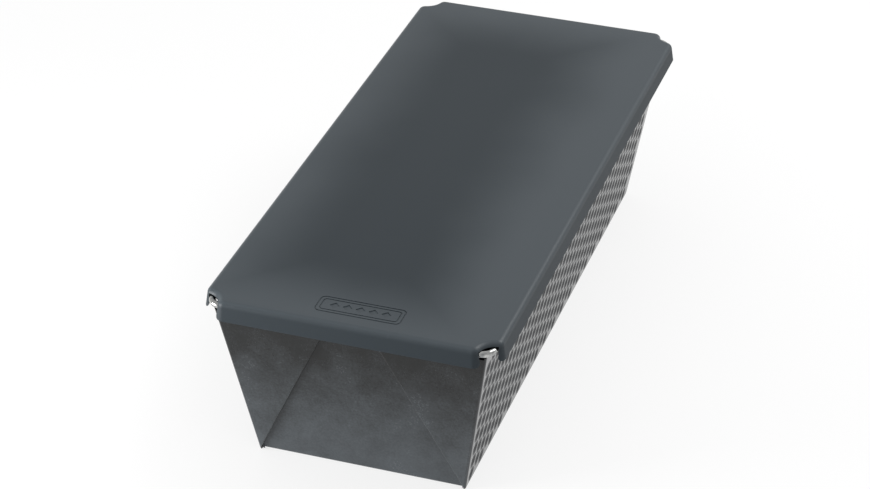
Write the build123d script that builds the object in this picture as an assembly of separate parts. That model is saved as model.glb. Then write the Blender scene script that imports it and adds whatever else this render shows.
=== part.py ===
from build123d import *
import os
from math import asin, atan, atan2, cos, degrees, hypot, radians, sin, tan

# A lidded loaf pan: one steel sheet folded into a tapered trough, a steel wire rolled into its rim,
# and a pressed lid that drops over the rim. Millimetres, +Z up, the width along X, the length along Y.
# The origin is the middle of the underside.

# The pan
base_width = 96.0
base_length = 264.6
rim_width = 131.0
rim_length = 299.8
pan_height = 84.7
sheet = 0.8
base_bend = 1.6
corner_bend = 1.6

# The folded corners: each spare triangle of the sheet lies doubled on the outside of an end wall
fold_gap = 0.25
fold_take_up_degrees = 1.6
fold_below_rim = 0.5
seam_above_base = 3.2

# The wire and the rim rolled over it
wire_diameter = 3.0
wire_play = 0.1
wire_corner_radius = 5.0
wire_end_gap = 0.6
roll_turn_degrees = 295.0
roll_end_clearance = 1.3
corner_below_wire = 0.5

# The lid
lid_sheet = 0.8
lid_depth = 8.8
lid_bend = 2.6
lid_splay_degrees = 8.5
lid_side_clearance = 0.5
lid_seat_gap = 0.3
notch_reach = 8.3
notch_outer_radius = 3.0
notch_lip = 2.0
ear_clearance = 0.4
ear_radius = 2.0

# How far a cut runs past what it cuts, and how nearly two heights are the same
overrun = 1.0
touch = 0.01

# The rolled rim
roll_inside = wire_diameter / 2 + wire_play
roll_outside = roll_inside + sheet
roll_x = rim_width / 2 - roll_outside
roll_y = rim_length / 2 - roll_outside
roll_z = pan_height - roll_outside


def lean(half_base, roll_centre):
    """The angle at which a wall leans out, in degrees, so that it runs into the rim's roll."""
    run = roll_centre - half_base
    reach = hypot(run, roll_z)
    return degrees(atan2(run, roll_z) - asin(roll_inside / reach))


side_lean = lean(base_width / 2, roll_x)
end_lean = lean(base_length / 2, roll_y)
side_slope = tan(radians(side_lean))
end_slope = tan(radians(end_lean))

# The doubled corner on an end wall: its two layers and the two slits between the three sheets
inner_layer = fold_gap
layer_slit = inner_layer + sheet
outer_layer = layer_slit + fold_gap
fold_outside = outer_layer + sheet
fold_top = roll_z - roll_outside - fold_below_rim
corner_top = roll_z - wire_diameter / 2 - corner_below_wire

# The lid rests on the bare wire with the lips of its notches
lid_top = roll_z + wire_diameter / 2 + lid_seat_gap + notch_lip
lid_splay = radians(lid_splay_degrees)

# The sharp corner of the lid's bend, set so that the flange clears the roll at the roll's widest height
lid_spread = lid_side_clearance + lid_sheet / cos(lid_splay) - (lid_top - roll_z) * tan(lid_splay)
lid_half_width = rim_width / 2 + lid_spread
lid_half_length = rim_length / 2 + lid_spread

# How far the inside of the lid's sheet lies behind its outside, level with the inside of its top
lid_inset = lid_sheet / cos(lid_splay) - lid_sheet * tan(lid_splay)

# Where a flange's end, wrapped round into the notch, stops short of the bare wire
ear_x = roll_x + wire_diameter / 2 + ear_clearance
ear_y = roll_y + wire_diameter / 2 + ear_clearance

# Where the rolls stop, short of the lid's notches
roll_half_width = lid_half_width - notch_reach - lid_inset - roll_end_clearance
roll_half_length = lid_half_length - notch_reach - lid_inset - roll_end_clearance


def flared_face(half_base, slope, low, high):
    """An upright trapezium that widens upwards about its middle."""
    bottom = half_base + low * slope
    top = half_base + high * slope
    return make_face(Polyline((-bottom, low), (bottom, low), (top, high), (-top, high), close=True))


def trough(side_offset, end_offset, low=0.0, high=roll_z):
    """A solid that follows the pan's taper, its faces offset outwards by the given distances."""
    half_width = base_width / 2 + side_offset / cos(radians(side_lean))
    half_length = base_length / 2 + end_offset / cos(radians(end_lean))
    across = Plane.XZ * flared_face(half_width, side_slope, low, high)
    along = Plane.YZ * flared_face(half_length, end_slope, low, high)
    return extrude(across, rim_length, both=True) & extrude(along, rim_width, both=True)


def at_height(edges, z):
    """The edges that lie level at a height."""
    return [e for e in edges if max(abs(e.bounding_box().min.Z - z), abs(e.bounding_box().max.Z - z)) < touch]


def rising(edges):
    """The edges that climb from the base to the rim."""
    return [e for e in edges if e.bounding_box().size.Z > pan_height / 2]


def folded_tub():
    """The bottom and the four walls, of one thickness, with tight bends round the bottom."""
    outside = trough(0, 0)
    outside = fillet(at_height(outside.edges(), 0), base_bend)
    inside = trough(-sheet, -sheet, low=sheet)
    inside = fillet(at_height(inside.edges(), sheet), base_bend - sheet)
    return outside - inside


def long_wall_ends():
    """The long walls run on past the end walls, to where they bend round into the folded corners."""
    return trough(0, fold_outside) - trough(-sheet, fold_outside + overrun)


def envelope():
    """The outer skin over the folded corners, with the bends at the four upright edges.

    Its bottom edge is a little tighter than the trough's own bend, so it trims the folds alone.
    """
    skin = trough(0, fold_outside)
    skin = fillet(rising(skin.edges()), corner_bend)
    return fillet(at_height(skin.edges(), 0), base_bend - sheet / 2)


def fold_frame():
    """A plane square to the free edge of the folded corner at -X on the front end wall.

    Its origin is the wall's bottom corner, its X points along the wall towards the upright edge and
    its Y out of the wall.
    """
    side_flare = degrees(atan(side_slope * cos(radians(end_lean))))
    end_flare = degrees(atan(end_slope * cos(radians(side_lean))))
    fold_angle = (90 - side_flare - end_flare) / 2 - fold_take_up_degrees
    wall = Plane(
        origin=(-base_width / 2, -base_length / 2, 0),
        x_dir=(1, 0, 0),
        z_dir=(0, -cos(radians(end_lean)), -sin(radians(end_lean))),
    )
    turn = radians(fold_angle - side_flare)
    along = wall.x_dir * sin(turn) + wall.y_dir * cos(turn)
    across = wall.x_dir * -cos(turn) + wall.y_dir * sin(turn)
    return Plane(origin=wall.origin, x_dir=across, z_dir=along)


def folded_corner():
    """The doubled triangle of one corner and the slit between its layers."""
    frame = fold_frame()
    reach = rim_width / 2
    length = hypot(reach, pan_height)
    fold_radius = (fold_outside - inner_layer) / 2

    def slab(near, low, high):
        flat = Pos((near + reach) / 2, (low + high) / 2) * Rectangle(reach - near, high - low)
        return extrude(frame * flat, length)

    edge = extrude(frame * (Pos(fold_radius, inner_layer + fold_radius) * Circle(fold_radius)), length)
    doubled = slab(fold_radius, inner_layer, fold_outside) + edge
    slit = slab(fold_radius, layer_slit, outer_layer)
    limit = trough(-sheet / 2, fold_outside + overrun, high=fold_top)
    inside_limit = trough(-sheet, fold_outside + overrun, low=seam_above_base, high=fold_top + overrun)
    return doubled & limit, slit & inside_limit


def corner_seams():
    """The slits where a long wall passes the doubled fold, one sheet out from the end wall's edge."""
    band = trough(-sheet, outer_layer, low=seam_above_base, high=roll_z + overrun)
    core = trough(-sheet - fold_gap, outer_layer + overrun, low=0, high=roll_z + 2 * overrun)
    hollow = trough(overrun, -sheet - overrun, low=0, high=roll_z + 2 * overrun)
    return band - core - hollow


def corner_hems():
    """The tight returns that join each end wall to the fold's inner layer."""
    band = trough(-sheet - fold_gap, inner_layer, high=fold_top)
    core = trough(-2 * sheet - fold_gap, inner_layer + overrun, high=fold_top + overrun)
    return band - core - trough(overrun, 0, high=fold_top + overrun)


def mirrored(shape):
    """The shape at all four corners."""
    pair = [shape, mirror(shape, about=Plane.YZ)]
    return pair + [mirror(s, about=Plane.XZ) for s in pair]


def rim_roll(lean_degrees, roll_centre, half_span):
    """One straight roll of the rim, drawn in the XZ plane and run along Y."""
    start = 180 - lean_degrees
    stop = start - roll_turn_degrees
    centre = Vector(roll_centre, roll_z)
    up = Vector(sin(radians(lean_degrees)), cos(radians(lean_degrees)))

    def on_circle(radius, angle):
        return centre + Vector(radius, 0).rotate(Axis.Z, angle)

    tab = 2 * roll_outside
    outer = CenterArc((centre.X, centre.Y), roll_outside, start, -roll_turn_degrees)
    inner = CenterArc((centre.X, centre.Y), roll_inside, start, -roll_turn_degrees)
    outline = Wire(
        [
            outer.edge(),
            Edge.make_line(on_circle(roll_outside, stop), on_circle(roll_inside, stop)),
            inner.edge(),
            Edge.make_line(on_circle(roll_inside, start), on_circle(roll_inside, start) - up * tab),
            Edge.make_line(on_circle(roll_inside, start) - up * tab, on_circle(roll_outside, start) - up * tab),
            Edge.make_line(on_circle(roll_outside, start) - up * tab, on_circle(roll_outside, start)),
        ]
    )
    section = Plane(origin=(0, half_span, 0), x_dir=(1, 0, 0), z_dir=(0, -1, 0)) * make_face(outline)
    return extrude(section, 2 * half_span)


def rim_rolls():
    """The four rolls, two along the sides and two along the ends."""
    side = rim_roll(side_lean, roll_x, roll_half_length)
    end = Rot(0, 0, -90) * rim_roll(end_lean, roll_y, roll_half_width)
    return [side, mirror(side, about=Plane.YZ), end, mirror(end, about=Plane.XZ)]


def corner_cuts():
    """The sheet is cut down at each corner, so that the bare wire can bend past it."""
    width = rim_width / 2 - roll_half_width
    length = rim_length / 2 - roll_half_length
    block = Box(width, length, pan_height - corner_top, align=Align.MIN)
    return mirrored(Pos(roll_half_width, roll_half_length, corner_top) * block)


def pan_body():
    """The folded sheet, in one piece from the bottom to the rolled rim."""
    doubled, slit = folded_corner()
    body = folded_tub() + long_wall_ends() + mirrored(doubled) + corner_hems()
    body = body & envelope()
    body = body - mirrored(slit) - corner_seams() - corner_cuts()
    return body + rim_rolls()


def rim_wire():
    """The wire in the rim, bent round the four corners, with its ends meeting in the back roll."""
    path = Pos(0, 0, roll_z) * RectangleRounded(2 * roll_x, 2 * roll_y, wire_corner_radius)
    wire_path = path.face().outer_wire()
    ring = sweep(Plane(origin=(0, roll_y, roll_z), z_dir=(1, 0, 0)) * Circle(wire_diameter / 2), path=wire_path)
    joint = Pos(0, roll_y, roll_z) * Box(wire_end_gap, wire_diameter + overrun, wire_diameter + overrun)
    return ring - joint


def lid_plan(inset):
    """The lid seen from above: a rectangle with a quarter circle cut from each corner, its tips rounded."""
    width = lid_half_width - inset
    length = lid_half_length - inset
    plan = Rectangle(2 * width, 2 * length)
    for x in (-1, 1):
        for y in (-1, 1):
            plan -= Pos(x * lid_half_width, y * lid_half_length) * Circle(notch_reach + inset)
    tips = [v for v in plan.vertices() if abs(v.X) + touch > width or abs(v.Y) + touch > length]
    return fillet(tips, notch_outer_radius - inset)


def tray(inset, thickness):
    """The lid's outside, or its inside when inset by the sheet: a shallow splayed tray with soft bends."""
    top = lid_top - thickness
    shell = extrude(Pos(0, 0, top) * lid_plan(inset), thickness - lid_depth - overrun, taper=-lid_splay_degrees)
    return fillet(at_height(shell.edges(), top), lid_bend - thickness)


def notch_trims():
    """Below its lip the pressed wall of each notch is cut away between the wrapped ends of two flanges."""
    start_x = lid_half_width - lid_inset - notch_reach
    start_y = lid_half_length - lid_inset - notch_reach
    block = Box(ear_x - start_x, ear_y - start_y, 2 * lid_depth, align=(Align.MIN, Align.MIN, Align.MAX))
    return mirrored(Pos(start_x, start_y, lid_top - notch_lip) * block)


def ear_cuts():
    """Rounds the lower corner of every wrapped flange end."""
    size = ear_radius + overrun
    profile = Rectangle(size, size, align=Align.MIN) - Circle(ear_radius)
    height = lid_top - lid_depth + ear_radius
    side_origin = (ear_x + ear_radius, lid_half_length - notch_reach, height)
    end_origin = (lid_half_width - notch_reach, ear_y + ear_radius, height)
    on_side = Plane(origin=side_origin, x_dir=(-1, 0, 0), z_dir=(0, -1, 0))
    on_end = Plane(origin=end_origin, x_dir=(0, -1, 0), z_dir=(1, 0, 0))
    cuts = []
    for plane in (on_side, on_end):
        cuts += mirrored(extrude(plane * profile, notch_outer_radius, both=True))
    return cuts


def lid():
    """The pressed lid: a flat top, four down-turned flanges and a lipped round notch at each corner."""
    below = Box(2 * rim_width, 2 * rim_length, lid_depth, align=(Align.CENTER, Align.CENTER, Align.MAX))
    below = Pos(0, 0, lid_top - lid_depth) * below
    return tray(0, 0) - tray(lid_inset, lid_sheet) - below - notch_trims() - ear_cuts()


os.makedirs("parts", exist_ok=True)
export_step(pan_body(), "parts/pan_body.step")
export_step(rim_wire(), "parts/rim_wire.step")
export_step(lid(), "parts/lid.step")
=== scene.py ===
"""A lidded loaf pan dressed for its photograph, laid out as a Blender add-on.

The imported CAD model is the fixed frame. Lengths are in metres, +Z is up, the width runs along X and the
length along Y. The middle of the pan's underside is the origin.
"""

import math

import bmesh
import bpy
from mathutils import Matrix, Vector
from mathutils.geometry import delaunay_2d_cdt


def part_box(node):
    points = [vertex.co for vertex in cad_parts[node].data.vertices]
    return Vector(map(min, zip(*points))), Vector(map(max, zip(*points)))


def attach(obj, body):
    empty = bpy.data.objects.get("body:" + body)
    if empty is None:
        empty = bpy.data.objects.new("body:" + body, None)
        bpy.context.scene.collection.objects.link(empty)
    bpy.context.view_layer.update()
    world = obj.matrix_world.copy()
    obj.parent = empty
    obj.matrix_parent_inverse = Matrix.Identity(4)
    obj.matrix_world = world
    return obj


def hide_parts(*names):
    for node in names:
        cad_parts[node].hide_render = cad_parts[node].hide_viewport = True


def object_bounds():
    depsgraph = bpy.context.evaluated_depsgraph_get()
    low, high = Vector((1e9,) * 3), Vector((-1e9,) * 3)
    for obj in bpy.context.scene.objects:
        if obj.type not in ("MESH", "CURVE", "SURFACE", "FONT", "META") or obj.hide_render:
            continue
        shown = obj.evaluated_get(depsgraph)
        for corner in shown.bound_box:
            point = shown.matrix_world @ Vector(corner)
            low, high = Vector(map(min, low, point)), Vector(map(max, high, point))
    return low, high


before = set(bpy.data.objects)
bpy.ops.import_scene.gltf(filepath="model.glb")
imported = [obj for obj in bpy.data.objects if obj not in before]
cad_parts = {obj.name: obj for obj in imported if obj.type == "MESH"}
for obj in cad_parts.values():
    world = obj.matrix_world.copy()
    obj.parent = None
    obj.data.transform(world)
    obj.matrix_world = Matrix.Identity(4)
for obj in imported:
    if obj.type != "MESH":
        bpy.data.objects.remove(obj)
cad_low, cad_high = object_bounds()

bl_info = {
    "name": "Lidded Loaf Pan",
    "version": (1, 0, 0),
    "blender": (4, 5, 0),
    "location": "View3D > Sidebar > Loaf Pan",
    "description": "Dresses a folded steel loaf pan, its rim wire and its lid",
    "category": "Add Mesh",
}

# Bends sharper than this keep a sharp edge
SMOOTH_BELOW = math.radians(32)

# The mesh of one dimple
DIMPLE_SIDES = 12
DIMPLE_RINGS = 4

# How a long wall's flat face is told: the least cosine between a triangle's normal and the way the wall
# looks, the most that the normal leans along the length, and the most that a triangle turns and lies away
# from the largest one
WALL_FACING = 0.95
WALL_TURN = 0.01
WALL_ANGLE = math.radians(0.5)
WALL_DEPTH = 0.00002

# How near two places in a mesh are when they are taken as one
MERGE_WITHIN = 0.000001
RIM_WITHIN = 0.00001
CROSSING_WITHIN = 0.0000001

# The value that asks the triangulation for what lies inside its edges
INSIDE_ONLY = 1

# The steps in each rounded corner of the badge
CORNER_STEPS = 6

# The sockets of a Mix node that mixes colours
MIX_SHARE, MIX_FIRST, MIX_SECOND, MIX_RESULT = 0, 6, 7, 2

# The pan's coating: how wide its clouds, specks and grain are, how deep the grain is, the clouds' share of
# the mottle, the mottle's strength, the painted bounce light at the foot, and how much of both makes the
# palest colour
PAN_CLOUDS = 0.018
PAN_SPECKS = 0.001
PAN_GRAIN = 0.0005
PAN_GRAIN_DEPTH = 0.00004
PAN_CLOUD_SHARE = 0.6
PAN_MOTTLE = 1.3
PAN_FOOT_BOUNCE = 0.3
PAN_PALEST = 1.2

# Its roughness, from where the mottle is weak to where it is strong, and how much glossier the long walls
# are, which are told from the end walls by how far a face looks sideways
PAN_MOTTLE_WEAK, PAN_MOTTLE_STRONG = 0.35, 0.65
PAN_ROUGH_LEAST, PAN_ROUGH_MOST = 0.2, 0.28
EMBOSSED_FROM, EMBOSSED_FULL = 0.7, 0.85
EMBOSSED_GLOSS = -0.08

# The lid's coating: how wide its clouds and grain are, how deep the grain is, how far from the lid's edge its
# painted sheen begins and is full, and how far the clouds shift that
LID_CLOUDS = 0.06
LID_GRAIN = 0.0007
LID_GRAIN_DEPTH = 0.00003
SHEEN_FROM, SHEEN_FULL = 0.06, 0.012
SHEEN_SHIFT = 0.02

# Its roughness, what the clouds and the drawn flanges add to it, and how far below the top the flanges'
# finish begins and is full
LID_ROUGH = 0.34
LID_CLOUD_ROUGH = 0.08
FLANGE_ROUGH = 0.2
FLANGE_FROM, FLANGE_FULL = 0.0005, 0.003

# The wire: how wide its dull patches and die lines are, how deep the lines are, where the patches begin and
# end in the noise, and its roughness from dull to bright
WIRE_PATCHES = 0.004
WIRE_LINES = 0.0003
WIRE_LINE_DEPTH = 0.00003
PATCH_DULL, PATCH_BRIGHT = 0.3, 0.7
WIRE_ROUGH_DULL, WIRE_ROUGH_BRIGHT = 0.16, 0.06

# The floor's half size, and the roughness and refractive index of its paper
FLOOR_HALF_SIZE = 6.0
PAPER_ROUGH = 0.9
PAPER_IOR = 1.3


# Colours, nodes and materials


def linear(hex_colour):
    """An sRGB hex colour as linear red, green and blue."""
    parts = [int(hex_colour[start:start + 2], 16) / 255 for start in (1, 3, 5)]
    return tuple(part / 12.92 if part <= 0.04045 else ((part + 0.055) / 1.055) ** 2.4 for part in parts)


def add_node(tree, kind, inputs=None, **settings):
    """Adds a node with its settings. Each input is set, or linked where it is given a socket or a node.

    From a node it takes the first output.
    """
    node = tree.nodes.new(kind)
    for name, value in settings.items():
        setattr(node, name, value)
    for name, value in (inputs or {}).items():
        if isinstance(value, bpy.types.Node):
            value = value.outputs[0]
        if isinstance(value, bpy.types.NodeSocket):
            tree.links.new(value, node.inputs[name])
        else:
            node.inputs[name].default_value = value
    return node


def new_material(name):
    """A material without any nodes, and its tree."""
    material = bpy.data.materials.new(name)
    material.use_nodes = True
    material.node_tree.nodes.clear()
    return material, material.node_tree


def baked_coating_on_sheet(settings):
    """Dark baked coating on cold-rolled steel sheet, dull satin.

    The oven leaves it faintly mottled and specked. Its colour is painted paler towards the pan's foot,
    painted bounce light from the floor, and darker towards the rim, painted shade under the lid. The long
    walls are painted darker, painted shade that deepens their dimples, and the rolls that emboss them leave
    them glossier than the end walls.
    """
    material, tree = new_material("baked_coating_on_sheet_steel")
    coordinates = add_node(tree, "ShaderNodeTexCoord").outputs
    place = coordinates["Object"]
    height = add_node(tree, "ShaderNodeSeparateXYZ", {0: place}).outputs["Z"]

    # Clouds about 18 mm wide with specks of about 1 mm, with painted bounce light palest at the foot and
    # painted shade darkest towards the rim
    clouds = add_node(
        tree,
        "ShaderNodeTexNoise",
        {"Vector": place, "Scale": 1 / PAN_CLOUDS, "Detail": 3.0, "Roughness": 0.6},
    )
    specks = add_node(
        tree,
        "ShaderNodeTexNoise",
        {"Vector": place, "Scale": 1 / PAN_SPECKS, "Detail": 2.0, "Roughness": 0.7},
    )
    cloud_part = add_node(tree, "ShaderNodeMath", {0: clouds, 1: PAN_CLOUD_SHARE}, operation="MULTIPLY")
    speck_part = add_node(tree, "ShaderNodeMath", {0: specks, 1: 1 - PAN_CLOUD_SHARE}, operation="MULTIPLY")
    mottle = add_node(tree, "ShaderNodeMath", {0: cloud_part, 1: speck_part}, operation="ADD")
    at_foot = add_node(
        tree, "ShaderNodeMath", {0: mottle, 1: PAN_MOTTLE, 2: PAN_FOOT_BOUNCE}, operation="MULTIPLY_ADD"
    )
    # Painted light: the colour is paler towards the foot, painted bounce light from the floor, and darker
    # towards the rim, painted shade under the lid
    from_foot = add_node(tree, "ShaderNodeMath", {0: height, 1: cad_high.z}, operation="DIVIDE")
    mottle_and_bounce = add_node(tree, "ShaderNodeMath", {0: at_foot, 1: from_foot}, operation="SUBTRACT")
    spread = add_node(
        tree,
        "ShaderNodeMapRange",
        {"Value": mottle_and_bounce, "From Min": 0.0, "From Max": PAN_PALEST},
        interpolation_type="SMOOTHSTEP",
    )
    plain = add_node(
        tree,
        "ShaderNodeMix",
        {MIX_SHARE: spread, MIX_FIRST: (*settings.pan_dark, 1), MIX_SECOND: (*settings.pan_light, 1)},
        data_type="RGBA",
    ).outputs[MIX_RESULT]

    # The long walls, painted darker: painted shade that deepens their dimples
    facing = add_node(tree, "ShaderNodeSeparateXYZ", {0: coordinates["Normal"]}).outputs["X"]
    sideways = add_node(tree, "ShaderNodeMath", {0: facing}, operation="ABSOLUTE")
    embossed = add_node(
        tree,
        "ShaderNodeMapRange",
        {"Value": sideways, "From Min": EMBOSSED_FROM, "From Max": EMBOSSED_FULL},
    )
    colour = add_node(
        tree,
        "ShaderNodeMix",
        {MIX_SHARE: embossed, MIX_FIRST: plain, MIX_SECOND: (*settings.pan_long_wall_shade, 1)},
        data_type="RGBA",
    ).outputs[MIX_RESULT]

    dull = add_node(
        tree,
        "ShaderNodeMapRange",
        {
            "Value": mottle,
            "From Min": PAN_MOTTLE_WEAK,
            "From Max": PAN_MOTTLE_STRONG,
            "To Min": PAN_ROUGH_LEAST,
            "To Max": PAN_ROUGH_MOST,
        },
    )
    gloss = add_node(
        tree, "ShaderNodeMath", {0: embossed, 1: EMBOSSED_GLOSS, 2: dull}, operation="MULTIPLY_ADD"
    )

    # The real grain is finer; it is drawn about 0.5 mm wide to show
    grain = add_node(tree, "ShaderNodeTexNoise", {"Vector": place, "Scale": 1 / PAN_GRAIN, "Detail": 1.0})
    relief = add_node(
        tree, "ShaderNodeBump", {"Height": grain, "Strength": 0.25, "Distance": PAN_GRAIN_DEPTH}
    )
    shader = add_node(
        tree,
        "ShaderNodeBsdfPrincipled",
        {"Base Color": colour, "Roughness": gloss, "Normal": relief, "IOR": settings.pan_ior},
    )
    add_node(tree, "ShaderNodeOutputMaterial", {"Surface": shader})
    return material


def baked_coating_on_pressing(settings):
    """The same coating on the pressed lid, blue-grey and even, with faint broad clouds.

    Its colour is painted a little lighter towards the edges of the lid's top, more so on the right, a painted
    sheen. Its flanges are painted darker, painted shade. Drawing the flanges down has roughened the coating
    there.
    """
    material, tree = new_material("baked_coating_on_pressed_steel")
    place = add_node(tree, "ShaderNodeTexCoord").outputs["Object"]
    x, y, z = add_node(tree, "ShaderNodeSeparateXYZ", {0: place}).outputs

    # Clouds about 60 mm wide
    clouds = add_node(tree, "ShaderNodeTexNoise", {"Vector": place, "Scale": 1 / LID_CLOUDS, "Detail": 2.0})

    # The way to the nearest edge, which the clouds make uneven; the painted sheen grows towards the edge
    shifted = add_node(tree, "ShaderNodeMath", {0: x, 1: settings.sheen_offset}, operation="ADD")
    off_middle = add_node(tree, "ShaderNodeMath", {0: shifted}, operation="ABSOLUTE")
    from_side = add_node(tree, "ShaderNodeMath", {0: cad_high.x, 1: off_middle}, operation="SUBTRACT")
    along = add_node(tree, "ShaderNodeMath", {0: y}, operation="ABSOLUTE")
    from_end = add_node(tree, "ShaderNodeMath", {0: cad_high.y, 1: along}, operation="SUBTRACT")
    nearest = add_node(tree, "ShaderNodeMath", {0: from_side, 1: from_end}, operation="MINIMUM")
    uneven = add_node(tree, "ShaderNodeMath", {0: clouds, 1: SHEEN_SHIFT}, operation="MULTIPLY")
    from_edge = add_node(tree, "ShaderNodeMath", {0: nearest, 1: uneven}, operation="ADD")
    # Painted sheen: the top is painted lighter near its edges
    sheen_share = add_node(
        tree,
        "ShaderNodeMapRange",
        {"Value": from_edge, "From Min": SHEEN_FROM, "From Max": SHEEN_FULL},
        interpolation_type="SMOOTHSTEP",
    )

    on_top = add_node(
        tree,
        "ShaderNodeMapRange",
        {"Value": z, "From Min": cad_high.z - FLANGE_FULL, "From Max": cad_high.z - FLANGE_FROM},
    )
    # The painted sheen lies on the top only
    sheen_on_top = add_node(tree, "ShaderNodeMath", {0: sheen_share, 1: on_top}, operation="MULTIPLY")
    flat = add_node(
        tree,
        "ShaderNodeMix",
        {MIX_SHARE: sheen_on_top, MIX_FIRST: (*settings.lid_dark, 1), MIX_SECOND: (*settings.lid_sheen, 1)},
        data_type="RGBA",
    ).outputs[MIX_RESULT]
    # Painted shade: the flanges are painted darker than the top
    colour = add_node(
        tree,
        "ShaderNodeMix",
        {MIX_SHARE: on_top, MIX_FIRST: (*settings.lid_flange_shade, 1), MIX_SECOND: flat},
        data_type="RGBA",
    ).outputs[MIX_RESULT]

    on_flange = add_node(tree, "ShaderNodeMath", {0: 1.0, 1: on_top}, operation="SUBTRACT")
    roughened = add_node(tree, "ShaderNodeMath", {0: on_flange, 1: FLANGE_ROUGH}, operation="MULTIPLY")
    dull = add_node(
        tree, "ShaderNodeMath", {0: clouds, 1: LID_CLOUD_ROUGH, 2: LID_ROUGH}, operation="MULTIPLY_ADD"
    )
    gloss = add_node(tree, "ShaderNodeMath", {0: dull, 1: roughened}, operation="ADD")

    # An orange-peel grain of about 0.7 mm
    grain = add_node(tree, "ShaderNodeTexNoise", {"Vector": place, "Scale": 1 / LID_GRAIN, "Detail": 1.0})
    relief = add_node(
        tree, "ShaderNodeBump", {"Height": grain, "Strength": 0.12, "Distance": LID_GRAIN_DEPTH}
    )
    shader = add_node(
        tree,
        "ShaderNodeBsdfPrincipled",
        {"Base Color": colour, "Roughness": gloss, "Normal": relief, "IOR": settings.lid_ior},
    )
    add_node(tree, "ShaderNodeOutputMaterial", {"Surface": shader})
    return material


def bright_drawn_wire(settings):
    """Bare drawn steel wire: bright metal with faint dulling and fine die lines.

    The real lines are finer; they are drawn about 0.3 mm wide to show.
    """
    material, tree = new_material("bright_drawn_steel_wire")
    place = add_node(tree, "ShaderNodeTexCoord").outputs["Object"]
    dulling = add_node(
        tree, "ShaderNodeTexNoise", {"Vector": place, "Scale": 1 / WIRE_PATCHES, "Detail": 3.0}
    )
    patches = add_node(
        tree, "ShaderNodeMapRange", {"Value": dulling, "From Min": PATCH_DULL, "From Max": PATCH_BRIGHT}
    )
    colour = add_node(
        tree,
        "ShaderNodeMix",
        {MIX_SHARE: patches, MIX_FIRST: (*settings.wire_dull, 1), MIX_SECOND: (*settings.wire_bright, 1)},
        data_type="RGBA",
    ).outputs[MIX_RESULT]
    gloss = add_node(
        tree,
        "ShaderNodeMapRange",
        {"Value": dulling, "To Min": WIRE_ROUGH_DULL, "To Max": WIRE_ROUGH_BRIGHT},
    )
    lines = add_node(tree, "ShaderNodeTexNoise", {"Vector": place, "Scale": 1 / WIRE_LINES, "Detail": 1.0})
    relief = add_node(
        tree, "ShaderNodeBump", {"Height": lines, "Strength": 0.15, "Distance": WIRE_LINE_DEPTH}
    )
    shader = add_node(
        tree,
        "ShaderNodeBsdfPrincipled",
        {"Base Color": colour, "Roughness": gloss, "Normal": relief, "Metallic": 1.0},
    )
    add_node(tree, "ShaderNodeOutputMaterial", {"Surface": shader})
    return material


# Meshes


def merged_copy(node):
    """A bmesh of a CAD node with the corners of its loose triangles merged."""
    shape = bmesh.new()
    shape.from_mesh(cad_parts[node].data)
    bmesh.ops.remove_doubles(shape, verts=shape.verts, dist=MERGE_WITHIN)
    return shape


def object_from(shape, name):
    """A new object at the origin that holds the bmesh's corners and faces."""
    shape.verts.index_update()
    mesh = bpy.data.meshes.new(name)
    faces = [[corner.index for corner in face.verts] for face in shape.faces]
    mesh.from_pydata([corner.co for corner in shape.verts], [], faces)
    shape.free()
    piece = bpy.data.objects.new(name, mesh)
    bpy.context.scene.collection.objects.link(piece)
    return piece


def evaluated_mesh(piece):
    """The piece's mesh with its modifiers worked out."""
    depsgraph = bpy.context.evaluated_depsgraph_get()
    return bpy.data.meshes.new_from_object(piece.evaluated_get(depsgraph), depsgraph=depsgraph)


def finish_piece(piece, material, body, node):
    """Smooths the piece's bends, keeps its flats flat, and puts it in its CAD node's place."""
    piece.data.materials.clear()
    piece.data.materials.append(material)
    piece.data.shade_smooth()
    piece.data.set_sharp_from_angle(angle=SMOOTH_BELOW)
    weighted = piece.modifiers.new("flat_faces_lead", "WEIGHTED_NORMAL")
    weighted.keep_sharp = True
    smoothed = evaluated_mesh(piece)
    piece.modifiers.clear()
    piece.data = smoothed
    smoothed.name = piece.name
    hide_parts(node)
    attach(piece, body)


# The dimples of the long walls


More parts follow.
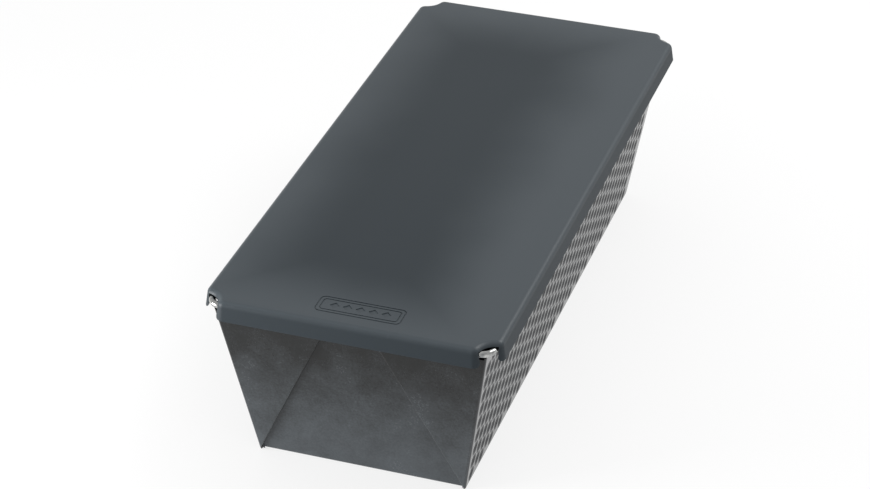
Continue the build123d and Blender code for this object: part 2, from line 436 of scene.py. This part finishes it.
def dimple_centres(tree, sizes):
    """The dimples' centres: a grid whose columns are staggered and slanted, trimmed to the wall's edges."""
    column_steps = add_node(tree, "ShaderNodeMath", {0: sizes["Columns"], 1: 1.0}, operation="SUBTRACT")
    row_steps = add_node(tree, "ShaderNodeMath", {0: sizes["Rows"], 1: 1.0}, operation="SUBTRACT")
    width = add_node(
        tree, "ShaderNodeMath", {0: column_steps, 1: sizes["Column Spacing"]}, operation="MULTIPLY"
    )
    height = add_node(tree, "ShaderNodeMath", {0: row_steps, 1: sizes["Row Spacing"]}, operation="MULTIPLY")
    half_height = add_node(tree, "ShaderNodeMath", {0: height, 1: 0.5}, operation="MULTIPLY")
    grid = add_node(
        tree,
        "GeometryNodeMeshGrid",
        {"Size X": width, "Size Y": height, "Vertices X": sizes["Columns"], "Vertices Y": sizes["Rows"]},
    )
    position = add_node(tree, "GeometryNodeInputPosition")
    across, up, _ = add_node(tree, "ShaderNodeSeparateXYZ", {0: position}).outputs

    # The middle column and every other one from it are raised by half a row
    steps_across = add_node(
        tree, "ShaderNodeMath", {0: across, 1: sizes["Column Spacing"]}, operation="DIVIDE"
    )
    column = add_node(tree, "ShaderNodeMath", {0: steps_across}, operation="ROUND")
    remainder = add_node(tree, "ShaderNodeMath", {0: column, 1: 2.0}, operation="MODULO")
    is_odd = add_node(tree, "ShaderNodeMath", {0: remainder}, operation="ABSOLUTE")
    is_even = add_node(tree, "ShaderNodeMath", {0: 1.0, 1: is_odd}, operation="SUBTRACT")
    half_row = add_node(tree, "ShaderNodeMath", {0: is_even, 1: 0.5}, operation="MULTIPLY")
    raised = add_node(tree, "ShaderNodeMath", {0: half_row, 1: sizes["Row Spacing"]}, operation="MULTIPLY")
    from_lowest = add_node(tree, "ShaderNodeMath", {0: up, 1: half_height}, operation="ADD")
    from_foot = add_node(
        tree, "ShaderNodeMath", {0: from_lowest, 1: sizes["First Row Height"]}, operation="ADD"
    )
    slope_height = add_node(tree, "ShaderNodeMath", {0: from_foot, 1: raised}, operation="ADD")

    # The columns lean about the middle of the grid's height
    from_middle = add_node(tree, "ShaderNodeMath", {0: slope_height, 1: half_height}, operation="SUBTRACT")
    slanted = add_node(
        tree, "ShaderNodeMath", {0: from_middle, 1: sizes["Slant"], 2: across}, operation="MULTIPLY_ADD"
    )
    centre = add_node(tree, "ShaderNodeCombineXYZ", {0: slanted, 1: slope_height})
    centres = add_node(tree, "GeometryNodeSetPosition", {"Geometry": grid, "Position": centre})

    # Centres too near the wall's slanted edges go
    across, up, _ = add_node(tree, "ShaderNodeSeparateXYZ", {0: position}).outputs
    edge = add_node(
        tree,
        "ShaderNodeMath",
        {0: up, 1: sizes["Flare"], 2: sizes["Half Width at Foot"]},
        operation="MULTIPLY_ADD",
    )
    sideways = add_node(tree, "ShaderNodeMath", {0: across}, operation="ABSOLUTE")
    outside = add_node(tree, "ShaderNodeMath", {0: sideways, 1: edge}, operation="GREATER_THAN")
    return add_node(
        tree, "GeometryNodeDeleteGeometry", {"Geometry": centres, "Selection": outside}, domain="POINT"
    )


def one_dimple(tree, sizes):
    """A disc pushed into a shallow bowl, its rings closer together towards the rim."""
    radius = sizes["Dimple Radius"]
    disc = add_node(
        tree,
        "GeometryNodeMeshCone",
        {"Vertices": DIMPLE_SIDES, "Side Segments": DIMPLE_RINGS, "Radius Bottom": radius},
        fill_type="NONE",
    )
    position = add_node(tree, "GeometryNodeInputPosition")
    flat = add_node(tree, "ShaderNodeVectorMath", {0: position, 1: (1.0, 1.0, 0.0)}, operation="MULTIPLY")
    from_middle = add_node(tree, "ShaderNodeVectorMath", {0: flat}, operation="LENGTH").outputs["Value"]
    outwards = add_node(tree, "ShaderNodeVectorMath", {0: flat}, operation="NORMALIZE")
    share = add_node(tree, "ShaderNodeMath", {0: from_middle, 1: radius}, operation="DIVIDE")
    turn = add_node(tree, "ShaderNodeMath", {0: share, 1: math.pi / 2}, operation="MULTIPLY")
    sine = add_node(tree, "ShaderNodeMath", {0: turn}, operation="SINE")
    ring = add_node(tree, "ShaderNodeMath", {0: sine, 1: radius}, operation="MULTIPLY")
    ring_place = add_node(tree, "ShaderNodeVectorMath", {0: outwards, "Scale": ring}, operation="SCALE")
    cosine = add_node(tree, "ShaderNodeMath", {0: turn}, operation="COSINE")
    bowl = add_node(tree, "ShaderNodeMath", {0: cosine, 1: cosine}, operation="MULTIPLY")
    relief = add_node(tree, "ShaderNodeMath", {0: bowl, 1: sizes["Dimple Relief"]}, operation="MULTIPLY")
    lift = add_node(tree, "ShaderNodeCombineXYZ", {2: relief})
    return add_node(
        tree, "GeometryNodeSetPosition", {"Geometry": disc, "Position": ring_place, "Offset": lift}
    )


def dimple_tree():
    """Staggered columns of oval dimples on a flat flared wall: across in X, up the slope in Y, proud in Z."""
    tree = bpy.data.node_groups.new("wall_dimples", "GeometryNodeTree")
    for name, kind in (
        ("Columns", "NodeSocketInt"),
        ("Rows", "NodeSocketInt"),
        ("Column Spacing", "NodeSocketFloat"),
        ("Row Spacing", "NodeSocketFloat"),
        ("First Row Height", "NodeSocketFloat"),
        ("Half Width at Foot", "NodeSocketFloat"),
        ("Flare", "NodeSocketFloat"),
        ("Slant", "NodeSocketFloat"),
        ("Dimple Radius", "NodeSocketFloat"),
        ("Dimple Stretch", "NodeSocketFloat"),
        ("Dimple Relief", "NodeSocketFloat"),
        ("Material", "NodeSocketMaterial"),
    ):
        tree.interface.new_socket(name, in_out="INPUT", socket_type=kind)
    tree.interface.new_socket("Dimples", in_out="OUTPUT", socket_type="NodeSocketGeometry")
    sizes = add_node(tree, "NodeGroupInput").outputs
    centres = dimple_centres(tree, sizes)
    dimple = one_dimple(tree, sizes)
    oval = add_node(tree, "ShaderNodeCombineXYZ", {0: 1.0, 1: sizes["Dimple Stretch"], 2: 1.0})
    dimples = add_node(
        tree, "GeometryNodeInstanceOnPoints", {"Points": centres, "Instance": dimple, "Scale": oval}
    )
    loose = add_node(tree, "GeometryNodeRealizeInstances", {"Geometry": dimples})
    coated = add_node(tree, "GeometryNodeSetMaterial", {"Geometry": loose, "Material": sizes["Material"]})
    add_node(tree, "NodeGroupOutput", {"Dimples": coated})
    return tree


def dimple_field(tree, settings, sense, material):
    """The corners and the faces of all the dimples of one wall face, one dimple after another."""
    values = {
        "Columns": settings.columns,
        "Rows": settings.rows,
        "Column Spacing": settings.column_spacing,
        "Row Spacing": settings.row_spacing,
        "First Row Height": settings.first_row,
        "Half Width at Foot": settings.half_width,
        "Flare": settings.flare,
        "Slant": sense * settings.slant,
        "Dimple Radius": settings.width / 2,
        "Dimple Stretch": settings.stretch,
        "Dimple Relief": -sense * settings.depth,
        "Material": material,
    }
    field = bpy.data.objects.new("dimple_field", bpy.data.meshes.new("dimple_field"))
    bpy.context.scene.collection.objects.link(field)
    modifier = field.modifiers.new("wall_dimples", "NODES")
    modifier.node_group = tree
    for item in tree.interface.items_tree:
        if item.in_out == "INPUT":
            modifier[item.identifier] = values[item.name]
    mesh = evaluated_mesh(field)
    corners = [corner.co.copy() for corner in mesh.vertices]
    faces = [tuple(face.vertices) for face in mesh.polygons]
    bpy.data.objects.remove(field)
    bpy.data.meshes.remove(mesh)
    return corners, faces


def flat_wall_faces(shape, towards):
    """The triangles of the largest flat face that looks about the way of towards, its normal and level."""
    facing = [
        face
        for face in shape.faces
        if face.normal.dot(towards) > WALL_FACING and abs(face.normal.y) < WALL_TURN
    ]
    largest = max(facing, key=lambda face: face.calc_area())
    normal = largest.normal.copy()
    level = largest.verts[0].co.dot(normal)
    flat = [
        face
        for face in facing
        if face.normal.angle(normal) < WALL_ANGLE
        and all(abs(corner.co.dot(normal) - level) < WALL_DEPTH for corner in face.verts)
    ]
    return flat, normal, level


def is_inside(point, points, edges):
    """Whether the point lies inside the outline that the edges between the points make."""
    crossings = 0
    for first, second in edges:
        a, b = points[first], points[second]
        if (a.y > point.y) != (b.y > point.y):
            crossings += a.x + (point.y - a.y) / (b.y - a.y) * (b.x - a.x) > point.x
    return crossings % 2 == 1


def dimple_rim(corners, members, settings):
    """Which of one dimple's corners lie on its rim, in order round it."""
    middle = sum((corners[index] for index in members), Vector()) / len(members)
    ring = []
    for index in members:
        across, up, _ = corners[index] - middle
        if abs(math.hypot(across, up / settings.stretch) - settings.width / 2) < RIM_WITHIN:
            ring.append((math.atan2(up, across), index))
    return [index for _, index in sorted(ring)]


def dimple_face(shape, base, towards, sense, tree, settings, material):
    """Replaces the flat face of a long wall, the one that looks the way of towards, with a dimpled one.

    The sense is 1 for a wall's outside, where the dimples are sunk, and -1 for its inside, where they stand
    proud. Both faces measure from the same base point, so that their dimples lie behind one another.
    """
    flat, normal, level = flat_wall_faces(shape, towards)

    # The face's own axes: across, up the slope and along its normal
    across = Vector((0, math.copysign(1, normal.x), 0))
    upwards = normal.cross(across)
    place = Matrix((across, upwards, normal)).transposed().to_4x4()
    place.translation = base + (level - base.dot(normal)) * normal
    to_wall = place.inverted()

    # The outline's edges and corners are kept in the faces' order, so that every run gives the same mesh
    chosen = set(flat)
    sides = dict.fromkeys(edge for face in flat for edge in face.edges)
    border = [edge for edge in sides if len(chosen & set(edge.link_faces)) == 1]
    outline = list(dict.fromkeys(corner for edge in border for corner in edge.verts))
    number = {corner: index for index, corner in enumerate(outline)}
    outline_edges = [(number[edge.verts[0]], number[edge.verts[1]]) for edge in border]
    bmesh.ops.delete(shape, geom=flat, context="FACES")

    # The dimples themselves
    corners, caps = dimple_field(tree, settings, sense, material)
    new_corners = [shape.verts.new(place @ corner) for corner in corners]
    for cap in caps:
        shape.faces.new([new_corners[index] for index in cap])

    # The ground between the outline and the dimples' rims
    points = [(to_wall @ corner.co).xy for corner in outline]
    owners = [None] * len(outline)
    verts = list(outline)
    edges = list(outline_edges)
    per_dimple = DIMPLE_SIDES * DIMPLE_RINGS + 1
    for start in range(0, len(corners), per_dimple):
        ring = dimple_rim(corners, range(start, start + per_dimple), settings)
        first = len(points)
        edges += [(first + step, first + (step + 1) % len(ring)) for step in range(len(ring))]
        for index in ring:
            points.append(corners[index].xy)
            owners.append(start)
            verts.append(new_corners[index])
    _, _, triangles, sources, _, _ = delaunay_2d_cdt(points, edges, [], INSIDE_ONLY, CROSSING_WITHIN, True)
    if not all(sources):
        raise RuntimeError("A dimple crosses another one, or the outline of a long wall's flat face")
    for triangle in triangles:
        ids = [sources[index][0] for index in triangle]
        owner = {owners[index] for index in ids}
        middle = sum((points[index] for index in ids), Vector((0, 0))) / 3
        if len(owner) > 1 or (owner == {None} and is_inside(middle, points, outline_edges)):
            shape.faces.new([verts[index] for index in ids])


# The badge place of the lid


def rounded_outline(half_width, half_height, radius):
    """The corners of a rounded rectangle about the origin, counter-clockwise."""
    points = []
    for quarter, (x, y) in enumerate(((1, 1), (-1, 1), (-1, -1), (1, -1))):
        middle = Vector((x * (half_width - radius), y * (half_height - radius)))
        for step in range(CORNER_STEPS + 1):
            angle = (quarter + step / CORNER_STEPS) * math.pi / 2
            points.append(middle + radius * Vector((math.cos(angle), math.sin(angle))))
    return points


def add_prism(shape, outer, inner, low, high, middle):
    """Adds a closed upright prism with the outer outline and, where one is given, a hole of the inner one."""
    def ring(points, height):
        return [shape.verts.new((middle.x + point.x, middle.y + point.y, height)) for point in points]

    outside_low, outside_high = ring(outer, low), ring(outer, high)
    count = len(outer)
    for index in range(count):
        after = (index + 1) % count
        shape.faces.new((outside_low[index], outside_low[after], outside_high[after], outside_high[index]))
    if not inner:
        shape.faces.new(outside_high)
        shape.faces.new(list(reversed(outside_low)))
        return
    inside_low, inside_high = ring(inner, low), ring(inner, high)
    for index in range(count):
        after = (index + 1) % count
        shape.faces.new((inside_low[after], inside_low[index], inside_high[index], inside_high[after]))
        shape.faces.new((outside_high[index], outside_high[after], inside_high[after], inside_high[index]))
        shape.faces.new((outside_low[after], outside_low[index], inside_low[index], inside_low[after]))


def badge_cutter(settings, top):
    """The tool that sinks two outlines and a short row of lozenges into the lid's top."""
    shape = bmesh.new()
    middle = Vector((settings.offset, cad_low.y + settings.from_front))
    low, high = top - settings.depth, top + settings.depth
    line = settings.line_width
    inner_radius = settings.corner_radius - settings.inset / 2
    for inset, radius in ((0.0, settings.corner_radius), (settings.inset, inner_radius)):
        half_width = settings.width / 2 - inset
        half_height = settings.height / 2 - inset
        outer = rounded_outline(half_width, half_height, radius)
        inner = rounded_outline(half_width - line, half_height - line, radius - line)
        add_prism(shape, outer, inner, low, high, middle)
    for index in range(settings.lozenges):
        shift = (index - (settings.lozenges - 1) / 2) * settings.lozenge_spacing
        size = settings.lozenge_size / 2
        lozenge = [Vector((shift + x * size, y * size)) for x, y in ((1, 0), (0, 1), (-1, 0), (0, -1))]
        add_prism(shape, lozenge, None, low, high, middle)
    return object_from(shape, "badge_cutter")


# Sizes and colours


class StageSettings(bpy.types.PropertyGroup):
    """The camera, the floor and the lights."""

    camera_place: bpy.props.FloatVectorProperty(
        name="Camera place",
        description="Where the camera stands",
        default=(0.33892, -1.0406, 0.7136),
        subtype="XYZ",
    )
    camera_target: bpy.props.FloatVectorProperty(
        name="Camera target",
        description="The point in the middle of the view",
        default=(-0.00869, -0.00656, 0.04),
        subtype="XYZ",
    )
    lens: bpy.props.FloatProperty(
        name="Lens", description="Focal length of the camera, in millimetres", default=112.6
    )
    sky: bpy.props.FloatProperty(
        name="Sky", description="Strength of the even light from all round", default=0.66
    )
    key: bpy.props.FloatProperty(
        name="Key lamp", description="Power of the soft lamp behind", default=7.0, unit="POWER"
    )
    key_place: bpy.props.FloatVectorProperty(
        name="Key lamp's place",
        description="Where the lamp behind hangs",
        default=(0.62, 0.5, 0.9),
        subtype="XYZ",
    )
    key_size: bpy.props.FloatProperty(
        name="Key lamp's size", description="Side of the lamp behind", default=0.8, unit="LENGTH"
    )
    fill: bpy.props.FloatProperty(
        name="Fill lamp", description="Power of the soft lamp in front", default=2.7, unit="POWER"
    )
    fill_place: bpy.props.FloatVectorProperty(
        name="Fill lamp's place",
        description="Where the lamp in front stands",
        default=(-0.4, -0.35, 0.1),
        subtype="XYZ",
    )
    fill_size: bpy.props.FloatProperty(
        name="Fill lamp's size", description="Side of the lamp in front", default=0.25, unit="LENGTH"
    )
    white_share: bpy.props.FloatProperty(
        name="White share",
        description="Share of pure white in the floor's look, against its own shading",
        default=0.75,
    )
    mirrored_white_share: bpy.props.FloatProperty(
        name="Mirrored white share", description="The same for the floor as mirrored in the pan", default=0.7
    )
    floor_colour: bpy.props.FloatVectorProperty(
        name="Floor colour",
        description="Colour of the studio floor",
        default=linear("#FAFAFA"),
        subtype="COLOR",
    )


class DimpleSettings(bpy.types.PropertyGroup):
    """The dimples of the long walls."""

    columns: bpy.props.IntProperty(
        name="Columns", description="Columns before trimming, an odd number", default=45
    )
    rows: bpy.props.IntProperty(name="Rows", description="Dimples in each column", default=9)
    column_spacing: bpy.props.FloatProperty(
        name="Column spacing", description="Between columns", default=0.007, unit="LENGTH"
    )
    row_spacing: bpy.props.FloatProperty(
        name="Row spacing", description="Between the dimples of a column", default=0.0082, unit="LENGTH"
    )
    first_row: bpy.props.FloatProperty(
        name="First row",
        description="From the wall's foot to the lowest centres",
        default=0.0056,
        unit="LENGTH",
    )
    slant: bpy.props.FloatProperty(
        name="Slant", description="Sideways shift of the columns for each metre up the slope", default=-0.163
    )
    half_width: bpy.props.FloatProperty(
        name="Half width",
        description="From the wall's middle to the furthest centres at its foot",
        default=0.1277,
        unit="LENGTH",
    )
    flare: bpy.props.FloatProperty(
        name="Flare", description="Growth of the half width for each metre up the slope", default=0.163
    )
    width: bpy.props.FloatProperty(
        name="Width", description="Across one dimple", default=0.0071, unit="LENGTH"
    )
    stretch: bpy.props.FloatProperty(
        name="Stretch", description="Height of a dimple over its width", default=1.14
    )
    depth: bpy.props.FloatProperty(
        name="Depth", description="Depth of one dimple", default=0.0009, unit="LENGTH"
    )
    base_half_width: bpy.props.FloatProperty(
        name="Base half width",
        description="From the pan's middle to the wall's foot",
        default=0.048,
        unit="LENGTH",
    )
    lean: bpy.props.FloatProperty(
        name="Lean",
        description="How far the wall leans out from upright",
        default=math.radians(9.3),
        subtype="ANGLE",
    )


class BadgeSettings(bpy.types.PropertyGroup):
    """The pressed place for a badge at the lid's front, which carries only generic lozenges."""

    width: bpy.props.FloatProperty(
        name="Width", description="Across the outer outline", default=0.0388, unit="LENGTH"
    )
    height: bpy.props.FloatProperty(
        name="Height", description="Outer outline, front to back", default=0.0118, unit="LENGTH"
    )
    offset: bpy.props.FloatProperty(
        name="Offset", description="Right of the lid's middle", default=0.0021, unit="LENGTH"
    )
    from_front: bpy.props.FloatProperty(
        name="From front",
        description="From the lid's front edge to the badge's middle",
        default=0.0146,
        unit="LENGTH",
    )
    inset: bpy.props.FloatProperty(
        name="Inset", description="Between the two outlines", default=0.0017, unit="LENGTH"
    )
    corner_radius: bpy.props.FloatProperty(
        name="Corner radius", description="Of the outer outline", default=0.0025, unit="LENGTH"
    )
    line_width: bpy.props.FloatProperty(
        name="Line width", description="Of each outline", default=0.0006, unit="LENGTH"
    )
    depth: bpy.props.FloatProperty(
        name="Depth", description="Depth of the pressed lines", default=0.0003, unit="LENGTH"
    )
    lozenges: bpy.props.IntProperty(
        name="Lozenges", description="Generic lozenges in the middle", default=5
    )
    lozenge_size: bpy.props.FloatProperty(
        name="Lozenge size", description="From tip to tip", default=0.0044, unit="LENGTH"
    )
    lozenge_spacing: bpy.props.FloatProperty(
        name="Lozenge spacing", description="Between middles", default=0.0058, unit="LENGTH"
    )


class FinishSettings(bpy.types.PropertyGroup):
    """Colours of the coatings and the wire."""

    pan_ior: bpy.props.FloatProperty(
        name="Pan IOR", description="Refractive index of the pan's coating", default=1.38
    )
    lid_ior: bpy.props.FloatProperty(
        name="Lid IOR", description="Refractive index of the lid's coating", default=1.38
    )
    # The dark end of the mottle, and painted shade towards the rim
    pan_dark: bpy.props.FloatVectorProperty(
        name="Pan, dark",
        description="The pan's coating towards its rim",
        default=linear("#131414"),
        subtype="COLOR",
    )
    # The light end of the mottle, and painted bounce light towards the foot
    pan_light: bpy.props.FloatVectorProperty(
        name="Pan, light",
        description="The pan's coating towards its foot",
        default=linear("#4D5256"),
        subtype="COLOR",
    )
    # Painted shade: the long walls' colour, darker than the rest, so that their dimples read darker
    pan_long_wall_shade: bpy.props.FloatVectorProperty(
        name="Pan, embossed",
        description="The coating of the dimpled long walls",
        default=linear("#191D20"),
        subtype="COLOR",
    )
    lid_dark: bpy.props.FloatVectorProperty(
        name="Lid, dark",
        description="The coating in the middle of the lid",
        default=linear("#242D33"),
        subtype="COLOR",
    )
    # Painted sheen: the colour the top is painted at its edges
    lid_sheen: bpy.props.FloatVectorProperty(
        name="Lid, light",
        description="The coating at the edges of the lid's top",
        default=linear("#444B50"),
        subtype="COLOR",
    )
    # Painted shade: the flanges' colour, darker than the top's
    lid_flange_shade: bpy.props.FloatVectorProperty(
        name="Lid, flanges",
        description="The coating of the lid's flanges",
        default=linear("#20292F"),
        subtype="COLOR",
    )
    # Moves the painted sheen so that it is stronger on the right
    sheen_offset: bpy.props.FloatProperty(
        name="Dark shift",
        description="How far left of the middle the lid is darkest",
        default=0.01,
        unit="LENGTH",
    )
    wire_dull: bpy.props.FloatVectorProperty(
        name="Wire, dull",
        description="Dulled patches of the wire",
        default=linear("#7A7C7E"),
        subtype="COLOR",
    )
    wire_bright: bpy.props.FloatVectorProperty(
        name="Wire, bright",
        description="Bright metal of the wire",
        default=linear("#DEDEDA"),
        subtype="COLOR",
    )


SETTINGS = {
    "loaf_stage": StageSettings,
    "loaf_dimples": DimpleSettings,
    "loaf_badge": BadgeSettings,
    "loaf_finish": FinishSettings,
}


# Operators


def aimed(place, target):
    """The placement of a camera or a lamp that looks from its place at a target."""
    return Matrix.Translation(place) @ (target - place).to_track_quat("-Z", "Y").to_matrix().to_4x4()


class LOAFPAN_OT_stage(bpy.types.Operator):
    """Sets up the camera, the pale floor, the sky and two soft lamps."""

    bl_idname = "loafpan.stage"
    bl_label = "Stage"

    def execute(self, context):
        """Makes the stage."""
        settings = context.scene.loaf_stage
        context.scene.view_settings.view_transform = "Standard"
        self.make_camera(context, settings)
        self.make_sky(context, settings)
        self.make_floor(settings)
        self.make_lamp(context, "key_lamp", settings.key_place, settings.key_size, settings.key)
        self.make_lamp(context, "fill_lamp", settings.fill_place, settings.fill_size, settings.fill)
        return {"FINISHED"}

    def make_camera(self, context, settings):
        """The camera at the photograph's angle."""
        data = bpy.data.cameras.new("camera")
        data.lens = settings.lens
        camera = bpy.data.objects.new("camera", data)
        camera.matrix_world = aimed(Vector(settings.camera_place), Vector(settings.camera_target))
        context.scene.collection.objects.link(camera)
        context.scene.camera = camera

    def make_sky(self, context, settings):
        """An even sky."""
        world = bpy.data.worlds.new("studio")
        context.scene.world = world
        world.use_nodes = True
        tree = world.node_tree
        tree.nodes.clear()
        light = add_node(tree, "ShaderNodeBackground", {"Color": (1, 1, 1, 1), "Strength": settings.sky})
        add_node(tree, "ShaderNodeOutputWorld", {"Surface": light})

    def make_floor(self, settings):
        """A pale paper floor, which shows the pan's soft shadow."""
        shape = bmesh.new()
        bmesh.ops.create_grid(shape, x_segments=1, y_segments=1, size=FLOOR_HALF_SIZE)
        floor = object_from(shape, "floor")
        material, tree = new_material("pale_studio_paper")
        paper = add_node(
            tree,
            "ShaderNodeBsdfPrincipled",
            {"Base Color": (*settings.floor_colour, 1), "Roughness": PAPER_ROUGH, "IOR": PAPER_IOR},
        )

        # Looked at, mirrored or seen through glass, the paper shines whiter and keeps its shadow
        rays = add_node(tree, "ShaderNodeLightPath").outputs
        share = 0.0
        for name, part in (
            ("Is Camera Ray", settings.white_share),
            ("Is Glossy Ray", settings.mirrored_white_share),
            ("Is Transmission Ray", settings.mirrored_white_share),
        ):
            share = add_node(
                tree, "ShaderNodeMath", {0: rays[name], 1: part, 2: share}, operation="MULTIPLY_ADD"
            )
        white = add_node(tree, "ShaderNodeEmission", {"Color": (1, 1, 1, 1), "Strength": 1.0})
        blend = add_node(tree, "ShaderNodeMixShader", {"Fac": share, 1: paper, 2: white})
        add_node(tree, "ShaderNodeOutputMaterial", {"Surface": blend})
        floor.data.materials.append(material)

    def make_lamp(self, context, name, place, size, power):
        """A soft square lamp that looks at the origin."""
        lamp = bpy.data.lights.new(name, "AREA")
        lamp.size = size
        lamp.energy = power
        holder = bpy.data.objects.new(name, lamp)
        holder.visible_camera = False
        holder.matrix_world = aimed(Vector(place), Vector())
        context.scene.collection.objects.link(holder)


class LOAFPAN_OT_pan_body(bpy.types.Operator):
    """Dresses the folded pan: dimples pressed through its long walls, and its mottled coating."""

    bl_idname = "loafpan.pan_body"
    bl_label = "Pan Body"

    def execute(self, context):
        """Makes the pan."""
        settings = context.scene.loaf_dimples
        material = baked_coating_on_sheet(context.scene.loaf_finish)
        shape = merged_copy("pan_body")
        shape.normal_update()
        tree = dimple_tree()
        for side in (-1, 1):
            base = Vector((side * settings.base_half_width, 0, 0))
            outwards = Vector((side * math.cos(settings.lean), 0, -math.sin(settings.lean)))
            for sense in (1, -1):
                dimple_face(shape, base, sense * outwards, sense, tree, settings, material)
                shape.normal_update()
        open_edges = [edge for edge in shape.edges if len(edge.link_faces) != 2]
        if open_edges:
            raise RuntimeError(f"The pan's mesh has {len(open_edges)} open edges")
        finish_piece(object_from(shape, "folded_pan"), material, "pan", "pan_body")
        return {"FINISHED"}


class LOAFPAN_OT_rim_wire(bpy.types.Operator):
    """Gives the rim wire its bright drawn finish."""

    bl_idname = "loafpan.rim_wire"
    bl_label = "Rim Wire"

    def execute(self, context):
        """Finishes the wire, whose CAD shape stays."""
        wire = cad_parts["rim_wire"]
        wire.data.materials.clear()
        wire.data.materials.append(bright_drawn_wire(context.scene.loaf_finish))
        return {"FINISHED"}


class LOAFPAN_OT_lid(bpy.types.Operator):
    """Dresses the pressed lid: its badge place and its even coating."""

    bl_idname = "loafpan.lid"
    bl_label = "Lid"

    def execute(self, context):
        """Makes the lid."""
        lid = object_from(merged_copy("lid"), "pressed_lid")
        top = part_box("lid")[1].z
        cutter = badge_cutter(context.scene.loaf_badge, top)
        sink = lid.modifiers.new("badge", "BOOLEAN")
        sink.operation = "DIFFERENCE"
        sink.solver = "EXACT"
        sink.object = cutter
        sunk = evaluated_mesh(lid)
        lid.modifiers.clear()
        lid.data = sunk
        bpy.data.objects.remove(cutter)
        finish_piece(lid, baked_coating_on_pressing(context.scene.loaf_finish), "lid", "lid")
        return {"FINISHED"}


class LOAFPAN_PT_pieces(bpy.types.Panel):
    """Lists the operators in the 3D view's sidebar."""

    bl_idname = "LOAFPAN_PT_pieces"
    bl_label = "Lidded Loaf Pan"
    bl_space_type = "VIEW_3D"
    bl_region_type = "UI"
    bl_category = "Loaf Pan"

    def draw(self, context):
        """Draws one button for each piece and the settings below it."""
        for operator in OPERATORS:
            self.layout.operator(operator.bl_idname)
        for name in SETTINGS:
            box = self.layout.box()
            group = getattr(context.scene, name)
            for field in type(group).__annotations__:
                box.prop(group, field)


OPERATORS = (LOAFPAN_OT_stage, LOAFPAN_OT_pan_body, LOAFPAN_OT_rim_wire, LOAFPAN_OT_lid)
CLASSES = (*SETTINGS.values(), *OPERATORS, LOAFPAN_PT_pieces)


def register():
    """Registers the classes and puts the settings on the scene."""
    for item in CLASSES:
        bpy.utils.register_class(item)
    for name, group in SETTINGS.items():
        setattr(bpy.types.Scene, name, bpy.props.PointerProperty(type=group))


def unregister():
    """Takes the settings and the classes away again."""
    for name in SETTINGS:
        delattr(bpy.types.Scene, name)
    for item in reversed(CLASSES):
        bpy.utils.unregister_class(item)


def main():
    """Registers the add-on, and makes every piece."""
    register()
    bpy.ops.loafpan.stage()
    bpy.ops.loafpan.pan_body()
    bpy.ops.loafpan.rim_wire()
    bpy.ops.loafpan.lid()


if __name__ == "__main__":
    main()
